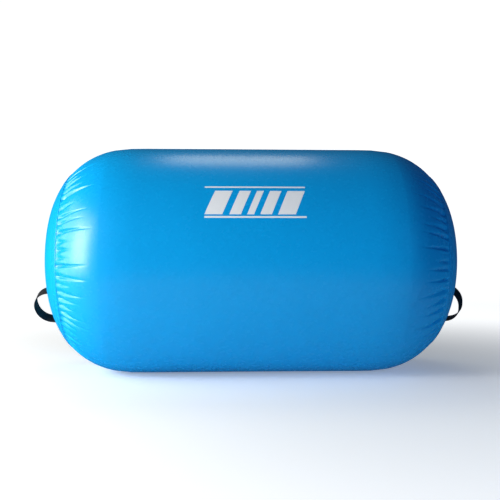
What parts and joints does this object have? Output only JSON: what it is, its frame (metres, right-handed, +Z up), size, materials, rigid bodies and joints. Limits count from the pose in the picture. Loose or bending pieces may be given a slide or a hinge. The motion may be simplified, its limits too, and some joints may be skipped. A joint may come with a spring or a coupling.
{
  "type": "inflatable gymnastics roller",
  "caption": "Inflatable gymnastics roller: a PVC barrel with domed ends, gathered shoulders, a webbing loop handle on each end and an inflation valve.",
  "frame": {"origin": "middle of the flat strip on which the roller rests on the floor", "axes": "+X along the roller towards the valve end, +Z up"},
  "size_m": [1.2973, 0.67, 0.6687],
  "materials": {
    "pvc_skin": "gloss",
    "pvc_panel": "gloss",
    "pvc_tape": "gloss",
    "pvc_patch": "gloss",
    "webbing": "matte",
    "valve_plastic": "satin",
    "stem_plastic": "satin",
    "cap_plastic": "satin",
    "valve_rubber": "matte",
    "spring_steel": "satin"
  },
  "bodies": {
    "root": {"barrel_skin": "pvc_skin", "barrel_outer_seam_tape": "pvc_tape", "barrel_inner_seam_tape": "pvc_tape", "left_end_panel": "pvc_panel", "left_outer_end_tape": "pvc_tape", "left_inner_end_tape": "pvc_tape", "left_handle_patches": "pvc_patch", "left_handle_tabs": "webbing", "right_end_panel": "pvc_panel", "right_outer_end_tape": "pvc_tape", "right_inner_end_tape": "pvc_tape", "right_handle_patches": "pvc_patch", "right_handle_tabs": "webbing", "valve_patch": "pvc_patch", "valve_body": "valve_plastic", "valve_guide": "stem_plastic", "valve_gasket": "valve_rubber", "valve_back_nut": "valve_plastic", "valve_spring": "spring_steel"},
    "left_handle": {"left_handle_loop": "webbing"},
    "right_handle": {"right_handle_loop": "webbing"},
    "valve_poppet": {"valve_diaphragm": "valve_rubber", "valve_retainer": "stem_plastic"},
    "valve_stem": {"valve_stem": "stem_plastic"},
    "valve_cap_ring": {"valve_cap_ring": "cap_plastic"},
    "valve_cap": {"valve_cap": "cap_plastic", "valve_cap_seal": "valve_rubber"}
  },
  "joints": [
    {"name": "left_handle_swing", "type": "hinge", "parent": "root", "child": "left_handle", "pos_m": [-0.6039, 0.01915, 0.19494], "axis": [-0.2044, -0.4894, 0.8477], "range_deg": [-50, 50], "stiffness_Nm_per_rad": 0.3},
    {"name": "right_handle_swing", "type": "hinge", "parent": "root", "child": "right_handle", "pos_m": [0.60542, -0.01902, 0.20216], "axis": [0.1919, 0.4907, 0.8499], "range_deg": [-50, 50], "stiffness_Nm_per_rad": 0.3},
    {"name": "valve_press", "type": "slide", "parent": "root", "child": "valve_poppet", "axis": [-1, 0, 0], "range_m": [0, 0.004], "stiffness_N_per_m": 1500, "springref_m": -0.003, "deforming": ["valve_spring"]},
    {"name": "stem_turn", "type": "hinge", "parent": "valve_poppet", "child": "valve_stem", "pos_m": [0.5999, 0, 0.33365], "axis": [1, 0, 0], "range_deg": [0, 90]},
    {"name": "cap_ring_turn", "type": "hinge", "parent": "root", "child": "valve_cap_ring", "pos_m": [0.5999, 0, 0.33365], "axis": [1, 0, 0], "continuous": true},
    {"name": "cap_flip", "type": "hinge", "parent": "valve_cap_ring", "child": "valve_cap", "pos_m": [0.6055, 0, 0.30815], "axis": [0, 1, 0], "range_deg": [0, 110]}
  ]
}
